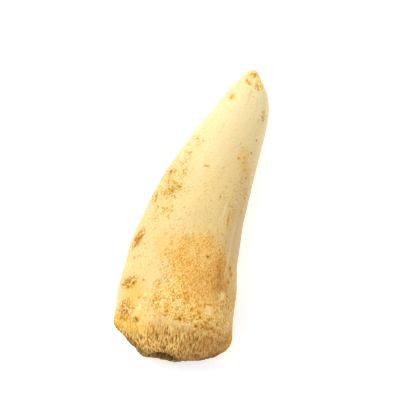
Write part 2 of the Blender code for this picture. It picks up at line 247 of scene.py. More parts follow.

# Small pale specks, some of them painted glints, most of those along the right edge, and brown
# marks of the upper face, as (x, y, half width, half length, strength) and for some a turn in
# degrees. Strong marks have a dark brown middle.
WHITE_SPECKS_AND_GLINTS = (
    (2.36, 21.8, 0.08, 0.8, 0.5), (2.45, 20.4, 0.08, 0.5, 0.25, -6),
    (2.1, 20.0, 0.08, 0.4, 0.4, 8), (4.3, 19.6, 0.08, 0.5, 0.25, -6), (3.4, 23.15, 0.1, 0.1, 0.5),
    (4.3, 27.7, 0.11, 0.11, 0.8), (4.5, 26.7, 0.11, 0.15, 0.8), (4.6, 22.8, 0.12, 0.14, 0.6),
    (4.55, 25.3, 0.1, 0.12, 0.4), (4.7, 24.1, 0.1, 0.12, 0.4), (2.95, 35.8, 0.13, 0.13, 0.9),
    (3.6, 36.9, 0.1, 0.13, 0.6), (3.4, 32.75, 0.1, 0.08, 0.8), (4.0, 33.6, 0.12, 0.12, 0.7),
    (3.5, 27.3, 0.12, 0.12, 0.4), (4.0, 29.8, 0.1, 0.12, 0.4), (-6.55, 8.75, 0.12, 0.14, 0.5),
    (-6.3, 4.7, 0.12, 0.2, 0.4, 20), (-6.55, 5.0, 0.1, 0.2, 0.4, -20),
    (-6.9, 3.9, 0.15, 0.15, 0.35),
)
MARKS = (
    (0.0, 41.5, 0.12, 0.12, 0.35), (0.35, 41.5, 0.18, 0.11, 0.6),
    (0.55, 41.15, 0.17, 0.08, 0.6, -38), (0.75, 41.5, 0.08, 0.15, 0.25),
    (0.4, 41.4, 0.5, 0.35, 0.1), (-0.38, 40.27, 0.17, 0.13, 0.65, 38),
    (0.05, 39.97, 0.42, 0.16, 0.4, 38), (1.2, 39.5, 0.11, 0.11, 0.4),
    (1.5, 39.6, 0.12, 0.12, 0.45), (1.95, 40.5, 0.1, 0.2, 0.4), (1.75, 39.45, 0.15, 0.1, 0.3),
    (1.25, 38.2, 0.12, 0.12, 0.4), (-1.65, 37.3, 0.17, 0.22, 0.5),
    (-1.55, 37.75, 0.12, 0.15, 0.3), (3.25, 36.65, 0.2, 0.3, 0.35),
    (3.15, 36.0, 0.15, 0.12, 0.45), (3.3, 35.75, 0.15, 0.12, 0.4), (3.5, 35.45, 0.13, 0.12, 0.6),
    (3.45, 32.4, 0.12, 0.12, 0.8), (-1.88, 26.8, 0.42, 0.14, 0.65),
    (1.6, 31.1, 0.09, 0.4, 0.35, 10), (2.0, 30.65, 0.2, 0.12, 0.45), (3.3, 30.4, 0.13, 0.13, 0.8),
    (1.95, 29.05, 0.17, 0.11, 0.7, 30), (2.65, 29.45, 0.11, 0.15, 0.7),
    (2.75, 28.85, 0.16, 0.1, 0.6), (4.05, 29.5, 0.1, 0.1, 0.5), (3.25, 27.95, 0.2, 0.1, 0.6),
    (3.65, 27.05, 0.12, 0.14, 0.7), (0.45, 27.2, 0.2, 0.1, 0.35), (4.85, 25.6, 0.1, 0.2, 0.6),
    (2.75, 24.5, 0.15, 0.15, 0.4), (4.3, 24.3, 0.12, 0.1, 0.85), (4.4, 25.0, 0.08, 0.2, 0.5),
    (2.85, 23.7, 0.12, 0.15, 0.4), (1.2, 23.2, 0.13, 0.12, 0.75), (4.45, 22.4, 0.15, 0.25, 0.45),
    (3.2, 20.4, 0.11, 1.1, 0.6, -9), (3.7, 19.2, 0.12, 0.15, 0.4), (3.05, 18.2, 0.12, 0.12, 0.6),
    (-4.65, 28.1, 0.16, 0.3, 0.55, 15), (-5.05, 29.2, 0.12, 0.1, 0.4),
    (-5.5, 26.6, 0.13, 0.13, 0.45), (-4.7, 26.7, 0.1, 0.1, 0.45),
    (-6.2, 27.1, 0.12, 0.25, 0.35, 20), (-6.45, 25.0, 0.18, 0.22, 0.85, 20),
    (-6.4, 24.5, 0.16, 0.3, 0.45), (-5.9, 25.3, 0.3, 0.08, 0.5, -34),
    (-5.2, 24.7, 0.1, 0.14, 0.5, 20), (-5.65, 23.6, 0.25, 0.16, 0.5),
    (-5.45, 23.3, 0.13, 0.13, 0.8), (-5.05, 23.45, 0.12, 0.11, 0.8),
    (-4.35, 23.45, 0.12, 0.08, 0.5), (-4.45, 22.9, 0.13, 0.15, 1.0),
    (-3.9, 23.05, 0.1, 0.12, 0.4), (-5.85, 22.5, 0.13, 0.16, 0.8),
    (-5.4, 22.25, 0.32, 0.22, 0.65), (-5.25, 22.5, 0.1, 0.2, 0.5), (-5.15, 21.4, 0.11, 0.11, 0.8),
    (-4.8, 21.5, 0.11, 0.1, 0.8), (-4.65, 21.25, 0.12, 0.15, 0.5), (-5.2, 20.85, 0.1, 0.09, 0.5),
    (-7.3, 21.25, 0.14, 0.16, 0.85), (-7.4, 21.7, 0.1, 0.12, 0.5),
    (-7.25, 20.8, 0.09, 0.4, 0.5, 5), (-7.2, 20.3, 0.12, 0.1, 0.7), (-6.9, 19.8, 0.12, 0.12, 0.5),
    (-6.55, 19.6, 0.13, 0.13, 0.8), (-5.85, 19.6, 0.17, 0.13, 0.75),
    (-6.65, 19.1, 0.12, 0.13, 0.6), (-7.5, 18.9, 0.14, 0.1, 0.35), (-6.3, 21.7, 0.5, 0.5, 0.3),
    (-4.6, 20.1, 0.13, 0.22, 0.5), (-4.4, 19.35, 0.17, 0.15, 0.5), (-4.8, 18.55, 0.16, 0.25, 0.5),
    (-5.35, 18.6, 0.1, 0.12, 0.35), (-4.5, 18.15, 0.2, 0.2, 0.35), (-3.0, 20.25, 0.13, 0.11, 0.6),
    (-3.1, 19.5, 0.15, 0.1, 0.35), (-3.0, 18.6, 0.2, 0.15, 0.35),
    (-7.95, 13.6, 0.13, 0.22, 0.9, 18), (-7.8, 14.15, 0.11, 0.3, 0.9, 18),
    (-7.75, 14.7, 0.17, 0.25, 1.0, 10), (-7.45, 15.0, 0.12, 0.15, 0.9, 30),
    (-7.4, 15.3, 0.16, 0.12, 0.9), (-7.2, 15.45, 0.12, 0.1, 0.5), (-8.0, 15.3, 0.14, 0.14, 0.8),
    (-7.75, 15.7, 0.16, 0.1, 0.7), (-7.45, 13.8, 0.15, 0.12, 0.5), (-6.95, 13.3, 0.13, 0.15, 0.3),
    (-8.2, 12.95, 0.12, 0.15, 0.5), (-7.6, 14.6, 0.5, 1.1, 0.15, 12),
    (-7.55, 11.95, 0.14, 0.12, 0.4), (-7.1, 12.2, 0.16, 0.09, 0.4),
    (-6.6, 12.15, 0.11, 0.14, 0.45), (-7.8, 8.0, 0.14, 0.14, 0.9),
    (-7.65, 8.35, 0.13, 0.13, 0.75), (-7.3, 8.75, 0.2, 0.14, 0.7), (-7.25, 9.1, 0.2, 0.1, 0.4),
    (-7.4, 7.95, 0.12, 0.12, 0.8), (-6.95, 7.7, 0.24, 0.22, 0.9), (-6.55, 7.8, 0.14, 0.14, 0.6),
    (-6.45, 8.4, 0.25, 0.22, 0.95), (-6.3, 8.55, 0.1, 0.25, 0.6), (-7.0, 8.3, 0.9, 0.7, 0.1),
    (-5.2, 9.05, 0.15, 0.13, 0.8), (-5.1, 6.55, 0.17, 0.14, 0.7, -20),
    (-5.75, 6.0, 0.1, 0.1, 0.45), (-5.55, 5.45, 0.12, 0.15, 0.5), (-5.35, 5.0, 0.3, 0.13, 0.7),
    (-6.1, 5.0, 0.12, 0.14, 0.8), (-6.25, 5.45, 0.2, 0.1, 0.45, 20),
    (-6.5, 5.3, 0.08, 0.25, 0.45, -20), (-6.15, 4.2, 0.15, 0.15, 0.9),
    (-5.9, 3.8, 0.13, 0.25, 0.65), (-5.75, 3.45, 0.2, 0.12, 0.55),
    (-6.7, 3.45, 0.11, 0.27, 1.0, 20), (-6.7, 4.1, 0.1, 0.33, 0.65, -12),
    (-5.0, 3.8, 0.18, 0.12, 0.5, 30), (-4.65, 3.8, 0.11, 0.16, 0.85, -10),
    (-4.4, 3.55, 0.15, 0.2, 1.0, -15), (-4.6, 3.25, 0.2, 0.1, 0.4, 30),
    (-6.6, 2.4, 0.1, 0.2, 0.7), (-6.05, 2.3, 0.14, 0.14, 0.75), (-5.3, 2.05, 0.2, 0.2, 0.4),
    (-4.4, 1.7, 0.2, 0.3, 0.4), (-3.0, 1.25, 0.22, 0.3, 0.6), (-2.35, 5.95, 0.3, 0.09, 0.45, -30),
    (-1.75, 5.25, 0.12, 0.2, 0.45, 15), (-3.3, 7.3, 0.2, 0.1, 0.4, -30),
    (-1.2, 6.1, 0.2, 0.15, 0.55), (-1.4, 6.7, 0.15, 0.13, 0.5), (2.11, 14.58, 0.2, 0.15, 1.0),
    (5.35, 14.25, 0.14, 0.33, 0.85, -10), (4.25, 13.35, 0.15, 0.33, 0.7, -5),
    (5.75, 13.5, 0.2, 0.33, 0.7, -5), (5.65, 12.35, 0.2, 0.35, 0.7), (4.2, 14.5, 0.15, 0.2, 0.5),
    (5.55, 15.6, 0.12, 0.12, 0.6), (3.8, 12.0, 0.22, 0.3, 0.5), (4.2, 10.7, 0.3, 0.35, 0.5),
    (0.5, 5.1, 0.3, 0.11, 0.7, -20), (1.1, 5.3, 0.24, 0.18, 1.0, 20),
    (3.45, 5.05, 0.22, 0.2, 1.0), (3.65, 6.25, 0.2, 0.18, 0.9), (4.6, 5.9, 0.22, 0.15, 0.8),
    (5.5, 5.4, 0.24, 0.2, 0.8), (6.05, 6.2, 0.13, 0.3, 0.8, -10),
    (4.2, 8.42, 0.75, 0.09, 0.65, -17), (3.75, 7.95, 0.12, 0.3, 0.6, -14),
    (3.6, 6.95, 0.12, 0.3, 0.5, 12), (2.33, 6.95, 0.22, 0.18, 0.7), (5.6, 3.9, 0.3, 0.5, 0.7),
    (8.0, 5.6, 0.25, 0.35, 0.5),
)

# Point below the broken end towards which its fibres run, as (x, y).
FIBRES_MEET = (5.0, -25.0)

# Least share of the width to which the girth falls at the tip, for patterns along the tooth.
LEAST_GIRTH = 0.05

# Spans of the noise and of the cells that the relief raises or sinks.
LUMP_RANGE = (0.32, 0.68)
PORE_REACH = (0.10, 0.36)
PORES_CHOSEN = (0.45, 0.75)
PORES_DRAWN_OUT = (1.0, 1.0, 0.55)
LUMP_ROUGHNESS = 0.5

# Patterns of the relief: the places they follow, how far those are squeezed to draw the pattern
# out along the tooth, and its detail.
EVEN = (1.0, 1.0, 1.0)
RELIEF_PATTERNS = {
    "Grain size": ("growth", (1.0, 1.0, 0.7), 2.0),
    "Fibre width": ("fibres", (1.0, 0.3, 0.3), 1.5),
    "Chip grain": ("growth", EVEN, 3.0),
    "Enamel wave": ("growth", (1.0, 1.0, 0.5), 2.0),
}

# Patterns of the finish: the same, with size in millimetres, detail, roughness and seed. The
# crumbs share all of these with the relief.
CRUMB_NOISE = (2.0, 0.5)
PATTERNS = {
    "enamel cloud": ("growth", (1.0, 1.0, 0.35), 3.0, 3.0, 0.5, 0.0),
    "enamel streak": ("growth", (1.0, 1.0, 0.05), 0.5, 2.0, 0.5, 2.0),
    "enamel fleck": ("object", EVEN, 0.24, 2.0, 0.6, 5.0),
    "bone grain": ("growth", (1.0, 1.0, 0.7), 0.19, 2.0, 0.6, 1.0),
    "bone cloud": ("growth", (1.0, 1.0, 0.6), 2.8, 2.0, 0.5, 7.0),
    "bone spot": ("growth", (1.0, 1.0, 0.8), 0.28, 2.0, 0.5, 21.0),
    "broken fibre": ("fibres", (1.0, 0.16, 0.16), 0.15, 1.5, 0.5, 3.0),
    "stain rim": ("object", EVEN, 0.35, 2.0, 0.5, 9.0),
    "speck": ("object", EVEN, 0.24, 3.0, 0.6, 11.0),
    "speck crowd": ("object", EVEN, 1.5, 2.0, 0.5, 19.0),
    "crumb": ("object", EVEN, RELIEF["Crumb size"], *CRUMB_NOISE, RELIEF["Seed"]),
    "bare rim": ("growth", (1.0, 1.0, 0.6), 0.8, 3.0, 0.6, 13.0),
    "bare grain": ("growth", (1.0, 1.0, 0.5), 0.38, 2.0, 0.6, 17.0),
    "hollow fibre": ("fibres", (1.0, 0.3, 0.3), 0.3, 2.0, 0.5, 0.0),
    "fine grain": ("growth", (1.0, 1.0, 0.7), 0.16, 2.0, 0.6, 15.0),
}

# Colours of the finish, as a screen shows them from 0 to 255.
COLOURS = {
    "lemon enamel": (238, 220, 167),
    "aged enamel": (231, 204, 140),
    "enamel streak": (206, 172, 112),
    "enamel speck": (196, 158, 82),
    "ochre enamel": (230, 182, 88),
    "bone crevice": (184, 120, 32),
    "golden bone": (240, 188, 88),
    # The palest grains of the bone stand partly for pale bone and partly for painted glints.
    "pale bone": (255, 228, 146),
    "warm bone": (230, 156, 72),
    "bone spot": (196, 126, 34),
    "bone pore": (172, 106, 30),
    "fibre crevice": (140, 84, 18),
    "golden fibre": (232, 174, 78),
    # The palest fibres of the broken end stand partly for pale fibre and partly for painted glints.
    "pale fibre": (255, 226, 146),
    "deep fibre": (168, 110, 34),
    "shaded end": (98, 74, 32),
    "pale dentine": (255, 238, 168),
    "golden dentine": (252, 214, 128),
    "gold stain": (230, 178, 60),
    "golden speck": (200, 156, 54),
    "brown speck": (166, 108, 10),
    "tan painted shade": (174, 126, 92),
    "brown stain and painted shade": (144, 88, 32),
    "pale patch": (255, 222, 154),
    "crumb halo": (226, 162, 56),
    "loose crumb": (255, 232, 172),
    "crumb gap": (160, 90, 0),
    "white speck and glint": (252, 244, 216),
    "mark rim": (208, 156, 56),
    "mark middle": (166, 104, 4),
    # The hollow's painted shade, and the paler fibres in it.
    "hollow shade": (118, 88, 42),
    "hollow fibre": (210, 168, 100),
}

# Colours laid over others by a value: the value at which each starts to show and at which it
# is full, the share that it then covers, and how far patterns around 0 shift the value.
LAYERS = {
    "enamel streak": (0.52, 0.80, 0.25, 0.0),
    "enamel speck": (0.60, 0.84, 0.50, 0.3),
    "ochre enamel": (0.0, 1.0, 1.0, 1.2),
    "golden bone": (0.34, 0.50, 1.0, 0.6),
    "pale bone": (0.50, 0.62, 1.0, 0.6),
    "warm bone": (0.1, 1.2, 0.45, 1.2),
    "bone spot": (0.58, 0.72, 0.60, -0.25),
    "bone pore": (-0.03, -0.12, 0.4, 0.0),
    "golden fibre": (0.34, 0.49, 1.0, 0.0),
    "pale fibre": (0.49, 0.62, 1.0, 0.0),
    "deep fibre": (0.0, -0.10, 0.3, 0.0),
    "golden dentine": (0.35, 0.65, 1.0, 0.0),
    "gold stain": (0.1, 1.2, 0.72, 2.0),
    "golden speck": (0.60, 0.76, 0.80, 0.0),
    "brown speck": (0.72, 0.86, 0.90, 0.0),
    "brown stain and painted shade": (0.1, 1.0, 0.55, 1.0),
    "pale patch": (0.2, 1.1, 0.7, 1.6),
    "crumb halo": (0.1, 0.9, 0.7, 1.6),
    "mark rim": (0.15, 0.70, 0.75, 0.5),
    "mark middle": (0.60, 1.30, 0.92, 0.5),
    "hollow fibre": (0.45, 0.65, 1.0, 0.0),
}

# Shares of the colours that follow a cover as it is: the painted shade of the broken end's low side,
# the painted tan shade of the right side, the white specks and painted glints, and the brown and
# painted shade of the crumb gaps. Then the strength of the marks.
END_SHADE, TAN_SHARE, WHITE_SHARE, GAP_SHARE = 0.68, 0.5, 0.7, 0.95
MARK_STRENGTH = 1.7

# The enamel ages towards the root, between these places along the tooth. Clouds shift them, and
# specks grow likelier with age.
ENAMEL_AGES, AGE_WANDERS, AGED_SPECKS = (18.0, 35.0), 12.0, 0.06

# What values of the patterns make crowds of specks, loose crumbs and gaps, and how far they fray
# the rims of the bare bone and of the hollow.
SPECK_CROWDS = (0.30, 0.66, 0.04, 0.26)
LOOSE_CRUMBS, CRUMB_GAPS = (0.54, 0.62), (0.52, 0.45)
BARE_FRAY, BARE_GRAIN = 1.2, 1.8
BARE_SHOWS, BARE_ENDS = (0.05, 0.95), (0.0, 0.15)
HOLLOW_FRAY, HOLLOW_SHOWS = (0.3, 0.7, 0.4, 1.6), (0.1, 0.8)

# Roughness and fine grain, both from sound enamel to worn bone, and translucency.
ROUGHNESS = (0.42, 0.82)
FINE_GRAIN = (0.08, 1.0)
BUMP_HEIGHT, BUMP_STRENGTH = 0.05 * MM, 0.6
TOOTH_GLOSS = {
    "Specular IOR Level": 0.2,
    "Subsurface Weight": 0.12,
    "Subsurface Radius": (1.0, 0.6, 0.3),
    "Subsurface Scale": 0.6 * MM,
}

# The studio, in metres and linear colours.
FLOOR_SIZE = 6.0
FLOOR_FINISH = {
    "Base Color": (0.86, 0.87, 0.9, 1.0),
    "Roughness": 0.9,
    "Emission Color": (0.98, 0.99, 1.0, 1.0),
    "Emission Strength": 0.42,
}
KEY_PLACE = (-0.38, 0.16, 0.36)
KEY_SIZE, KEY_POWER, KEY_COLOUR = 0.30, 1.65, (1.0, 0.99, 0.92)
SKY_COLOUR, SKY_STRENGTH = (0.955, 0.96, 1.0, 1.0), 0.81

# The camera: the photograph looks almost straight down on the tooth.
CAMERA_AZIMUTH, CAMERA_ELEVATION = math.radians(17.5), math.radians(80.0)
CAMERA_DISTANCE = 0.45
CAMERA_LENS, CAMERA_SENSOR = 284.5, 36.0
CAMERA_AIM = (0.0, 0.0, 0.004)
CAMERA_RIGHT, CAMERA_UP = 0.00025, 0.00066
CAMERA_CLIP = (0.01, 20.0)


def curve(points, at):
    """Smooth curve through (place, value) points, read at each place and never overshooting."""
    place, value = np.array(points, float).T
    step = np.diff(place)
    rise = np.diff(value) / step
    same_way = rise[:-1] * rise[1:] > 0
    spread = np.where(same_way, rise[:-1] + rise[1:], 1.0)
    inner = np.where(same_way, 2.0 * rise[:-1] * rise[1:] / spread, 0.0)
    slope = np.concatenate([rise[:1], inner, rise[-1:]])
    at = np.clip(at, place[0], place[-1])
    left = np.clip(np.searchsorted(place, at, side="right") - 1, 0, len(step) - 1)
    part = (at - place[left]) / step[left]
    rest = 1.0 - part
    ends = value[left] * rest**2 * (1 + 2 * part) + value[left + 1] * part**2 * (1 + 2 * rest)
    bend = step[left] * part * rest * (slope[left] * rest - slope[left + 1] * part)
    return ends + bend


def ramp(at, start, end):
    """0 before start, 1 after end and smooth between them."""
    share = np.clip((at - start) / (end - start), 0.0, 1.0)
    return share * share * (3.0 - 2.0 * share)


def bump(distance, reach):
    """1 at the middle and next to nothing at twice the reach."""
    return np.exp(-((distance / reach) ** 2))


def fade(at, starts, ends):
    """Rises from 0 to 1 over the first stretch and falls back to 0 over the second."""
    return ramp(at, *starts) * (1.0 - ramp(at, *ends))


def waves_round(waves, angle):
    """Sum of waves around the tooth, each given as (number, phase, height)."""
    return sum(height * np.sin(number * angle + phase) for number, phase, height in waves)


def tip_closing(along):
    """1 up to where the tip starts to close, then down to 0 in a quarter of an ellipse."""
    share = np.clip((along - TIP_STARTS) / (1.0 - TIP_STARTS), 0.0, 1.0)
    return np.sqrt(1.0 - share**2)


def wall(angle, along):
    """Points of the tooth's wall at each angle and share of the length."""
    across, up = np.cos(angle), np.sin(angle)
    left, right = curve(LEFT_EDGE, along) * WIDTH, curve(RIGHT_EDGE, along) * WIDTH
    top, under = curve(TOP, along) * THICKNESS, curve(UNDERSIDE, along) * THICKNESS
    closing = tip_closing(along)
    widest = under + WIDEST_LINE * (top - under)
    reach = np.where(up > 0, top - widest, widest - under) * closing
    sharpness = 1.0 + curve(KEEL, along) * ((1.0 - across) / 2.0) ** 2
    lean = curve(CREST_LEAN, along)
    x = (left + right) / 2.0 + (right - left) / 2.0 * closing * (across + lean * up**2)
    z = widest + reach * np.sign(up) * np.abs(up) ** sharpness
    return np.stack([x, along * LENGTH, z], axis=-1)


def lip(angle):
    """Share of the length at which each column of the wall begins."""
    base = wall(angle, np.zeros_like(angle))[..., 0] / WIDTH
    upper, lower = curve(UPPER_LIP, base), curve(LOWER_LIP, base)
    weight = ramp(np.sin(angle), *LIP_BLEND)
    return upper * weight + lower * (1.0 - weight) + waves_round(LIP_RAGGED, angle)


def wall_rows():
    """Shares of each column at which the rings lie."""
    ends = [start for start, _ in WALL_STEPS[1:]] + [TIP_STARTS * LENGTH]
    rows = [np.arange(start, end, step) / LENGTH for (start, step), end in zip(WALL_STEPS, ends)]
    return np.concatenate([*rows, 1.0 - (1.0 - TIP_STARTS) * np.array(TIP_RINGS)])


def outward(grid):
    """Unit normals of a grid of rings, pointing out of the tooth."""
    along = np.gradient(grid, axis=0)
    around = np.roll(grid, -1, axis=1) - np.roll(grid, 1, axis=1)
    normals = np.cross(along, around)
    return normals / np.linalg.norm(normals, axis=-1, keepdims=True)


def lumps_and_pits(x, y, angle, along):
    """Height of the root's lumps less the depth of the pits."""
    height = np.zeros_like(x)
    for waves, around, phase, size in LUMPS:
        height += size * np.sin(waves * along * math.pi + around * angle + phase)
    height *= 1.0 - ramp(along, *LUMPS_FADE)
    upper = ramp(np.sin(angle), *UPPER_FACE)
    for pit_x, pit_y, reach, depth in PITS:
        height -= depth * upper * bump(np.hypot(x - pit_x, y - pit_y), reach)
    return height


def furrow_depth(x, y, angle):
    inside = fade(y, FURROW_STARTS, FURROW_ENDS) * ramp(np.sin(angle), *UPPER_FACE)
    return FURROW_DEPTH * inside * bump(x - curve(FURROW, y), FURROW_HALF_WIDTH)


def past_chip(x, y):
    """1 where the tip is chipped."""
    past = ramp(y - curve(CHIP_EDGE, x), -LEDGE_HALF_WIDTH, LEDGE_HALF_WIDTH)
    return past * ramp(x, *CHIP_STARTS)


def round_lip(grid, angle, distance):
    """Draws the first rings in towards the middle, so that the wall ends in a rounded edge."""
    inward = grid.mean(axis=1, keepdims=True) - grid
    inward[..., 1] = 0.0
    inward /= np.linalg.norm(inward, axis=-1, keepdims=True)
    upper = np.maximum(np.sin(angle), 0.0)
    depth = curve(LIP_ROUNDING, grid[..., 0] / WIDTH) * upper
    depth += LIP_ROUNDING_BENEATH * (1.0 - upper)
    near = np.clip(1.0 - distance / LIP_ROUNDING_REACH, 0.0, 1.0)
    return grid + inward * (depth * (1.0 - np.sqrt(1.0 - near**2)))[..., None]


def wall_grid(angle):
    """Rings of the wall from the lip to just short of the tip, and their distance from the lip."""
    start = lip(angle)[None, :]
    along = start + (1.0 - start) * wall_rows()[:, None]
    grid = wall(np.broadcast_to(angle, along.shape), along)
    x, y = grid[..., 0], grid[..., 1]
    height = lumps_and_pits(x, y, angle, along)
    height -= furrow_depth(x, y, angle)
    height -= CHIP_DEPTH * past_chip(x, y) * (1.0 - ramp(x, *CHIP_ENDS))
    distance = (along - start) * LENGTH
    return round_lip(grid + outward(grid) * height[..., None], angle, distance), distance


def hollow_mouth(angle, size):
    """A ring of the hollow at a share of its mouth's size, at the mouth's depth."""
    x, y, z = HOLLOW_CENTRE
    ragged = size * (1.0 + waves_round(HOLLOW_RAGGED, angle))
    return np.stack([
        x + HOLLOW_HALF_WIDTH * ragged * np.cos(angle),
        y + HOLLOW_TILT * HOLLOW_HALF_HEIGHT * ragged * np.sin(angle),
        z + HOLLOW_HALF_HEIGHT * ragged * np.sin(angle),
    ], axis=-1)


def end_fibres(angle, share):
    """Height of the broken end's fibres at shares of the way from lip to hollow."""
    waves, around, size = FIBRE_WANDER
    wandering = angle + size * np.sin(waves * share + around * angle)
    waves, around, size = FIBRE_BREAKS
    broken = 1.0 - size + size * np.sin(waves * share + around * angle)
    return waves_round(END_FIBRES, wandering) * broken


def end_grid(angle, lip_ring):
    """Rings of the broken end, from the hollow's mouth out to just inside the lip."""
    share = np.linspace(1.0, 0.0, END_ROWS + 1)[:-1, None]
    mouth = hollow_mouth(angle, 1.0)
    grid = lip_ring * (1.0 - share[..., None]) + mouth * share[..., None]
    x, z = grid[..., 0], grid[..., 2]
    y = mouth[:, 1] + (lip_ring - mouth)[:, 1] * (1.0 - share) ** 2
    swell = 4.0 * share * (1.0 - share)
    room = np.linalg.norm((lip_ring - mouth)[:, [0, 2]], axis=-1)
    fibres = end_fibres(angle, share) * np.minimum(1.0, room / FIBRES_NEED)
    lumps = sum(
        height * np.sin(waves_x * x + phase_x) * np.sin(waves_z * z + phase_z)
        for waves_x, phase_x, waves_z, phase_z, height in END_LUMPS
    )
    lobe = LOBE_HEIGHT * bump(np.hypot(x - LOBE_CENTRE[0], z - LOBE_CENTRE[1]), LOBE_REACH)
    lobe *= np.minimum(1.0, 2.0 * swell)
    bulge = curve(END_BULGE, x / WIDTH) + lumps
    grid[..., 1] = y - bulge * swell - fibres * np.sqrt(swell) - lobe
    return grid, -share * room


def hollow_grid(angle, mouth_distance):
    """Rings of the hollow's inside, a bowl, from near its floor out to just inside the mouth."""
    turn = np.linspace(0.0, math.pi / 2.0, HOLLOW_ROWS + 2)[1:-1, None]
    rings = np.array([hollow_mouth(angle, math.sin(value)) for value in turn[:, 0]])
    rings[..., 1] += HOLLOW_DEPTH * np.cos(turn)
    return rings, mouth_distance - HOLLOW_DEPTH * np.cos(turn)


def scratch(x, y):
    """A pale scratch along the left side of the furrow."""
    across = bump(x - curve(FURROW, y) - SCRATCH_OFFSET, SCRATCH_HALF_WIDTH)
    return SCRATCH_STRENGTH * across * fade(y, SCRATCH_STARTS, SCRATCH_ENDS)


def patches(x, y, table, rim):
    """Cover of the soft patches in a table, from 0 to 1: full inside, and fading at the rim."""
    clear = np.ones_like(x)
    for centre_x, centre_y, half_width, half_length, strength in table:
        distance = np.hypot((x - centre_x) / half_width, (y - centre_y) / half_length)
        clear *= 1.0 - strength * (1.0 - ramp(distance, *rim))
    return 1.0 - clear


def spots(rings, table):
    """Cover of the small spots in a table, from 0 to 1, each round about its place on the skin."""
    upper = rings[:, 1:COLUMNS // 2].reshape(-1, 3)
    clear = np.ones(rings.shape[:2])
    for centre_x, centre_y, half_width, half_length, strength, *turn in table:
        nearest = np.hypot(upper[:, 0] - centre_x, upper[:, 1] - centre_y).argmin()
        across, along, up = np.moveaxis(rings - upper[nearest], -1, 0)
        angle = math.radians(turn[0]) if turn else 0.0
        cosine, sine = math.cos(angle), math.sin(angle)
        distance = np.sqrt(
            ((across * cosine - along * sine) / half_width) ** 2
            + ((across * sine + along * cosine) / half_length) ** 2
            + (up / (half_width + half_length)) ** 2
        )
        clear *= 1.0 - strength * bump(distance, SPOT_REACH)
    return 1.0 - clear


def growth_places(angle, grid, distance):
    """Places on the tooth as it grew: straight, of even girth, with the broken end folded out.

    Fibres and streaks that follow these places run along the tooth and turn over the lip
    towards the hollow.
    """
    girth = np.sqrt(np.clip(np.ptp(grid[..., 0], axis=1) / WIDTH, LEAST_GIRTH, 1.0))[:, None]
    return np.stack([
        WIDTH / 2.0 * girth * np.cos(angle),
        THICKNESS / 2.0 * girth * np.sin(angle),
        distance,
    ], axis=-1)


def fibre_places(rings):
    """Places on the broken end, spread so that fibres that run to one point become parallel."""
    meet_x, meet_y = FIBRES_MEET
    spread = meet_y / (meet_y - rings[..., 1])
    straight = meet_x + (rings[..., 0] - meet_x) * spread
    return np.stack([straight, rings[..., 1], rings[..., 2]], axis=-1)


def bare_bone(x, y, upper, distance):
    """Cover of the bare bone: patches above, the root end beneath, and a strip along the lip."""
    return np.maximum.reduce([
        patches(x, y, BARE_PATCHES, BARE_RIM) * upper,
        (1.0 - upper) * (1.0 - ramp(y, *BARE_BENEATH)),
        1.0 - ramp(distance, *BARE_STRIP),
    ])


def covers(rings, angle, distance, mouth_distance):
    """How much each finish covers every point, from 0 to 1."""
    x, y, z = np.moveaxis(rings, -1, 0)
    upper = ramp(np.broadcast_to(np.sin(angle), x.shape), *UPPER_SIDE)
    outside = ramp(distance, *OVER_LIP)
    upper_or_end = np.maximum(upper, 1.0 - outside)
    past_mouth = distance - mouth_distance - curve(HOLLOW_SHADE_REACH, x)
    # White specks, some of them painted glints, and the pale scratch.
    white = np.maximum(spots(rings, WHITE_SPECKS_AND_GLINTS), scratch(x, y))
    return {
        "bare": bare_bone(x, y, upper, distance),
        "broken": 1.0 - ramp(distance - curve(FIBRES_BEGIN, x) * upper, *FIBRES_BLEND),
        "hollow": 1.0 - ramp(past_mouth, *HOLLOW_RIM),
        "chip": past_chip(x, y) * ramp(y, *CHIP_ABOVE),
        "ochre": patches(x, y, OCHRE_PATCHES, CRISP_RIM) * upper,
        "gold": patches(x, y, GOLD_PATCHES, SOFT_RIM) * upper_or_end,
        "pale": patches(x, y, PALE_PATCHES, SOFT_RIM) * upper * outside,
        "speckle": patches(x, y, SPECKLED_PATCHES, CRISP_RIM) * upper * outside,
        "crumble": patches(x, y, CRUMBLED_PATCHES, CRUMBLED_RIM) * upper * outside,
        # Brown stains, and painted shade low on the right.
        "brown": patches(x, y, BROWN_PATCHES, BROWN_RIM) * upper_or_end,
        # Painted shade of the broken end's low side, strongest near the floor.
        "low": 1.0 - ramp(z, *LOW_SIDE),
        "white": white * upper * outside,
        # Painted tan shade of the right side.
        "tan": patches(x, y, PAINTED_TAN_SHADE_PATCHES, TAN_RIM) * upper_or_end,
        "mark": spots(rings, MARKS) * upper * outside,
    }


def tooth_rings():
    """All rings from the hollow's floor round the lip to the tip, and what the finish reads."""
    angle = np.linspace(0.0, 2.0 * math.pi, COLUMNS, endpoint=False)
    sides, side_distance = wall_grid(angle)
    end, end_distance = end_grid(angle, sides[0])
    hollow, hollow_distance = hollow_grid(angle, end_distance[0])
    rings = np.concatenate([hollow, end, sides])
    distance = np.concatenate([hollow_distance, end_distance, side_distance])
    rings[..., 2] = np.maximum(rings[..., 2], 0.0)
    reads = {
        "growth": growth_places(angle, rings, distance),
        "fibres": fibre_places(rings),
        **covers(rings, angle, distance, end_distance[0]),
    }
    return rings, reads


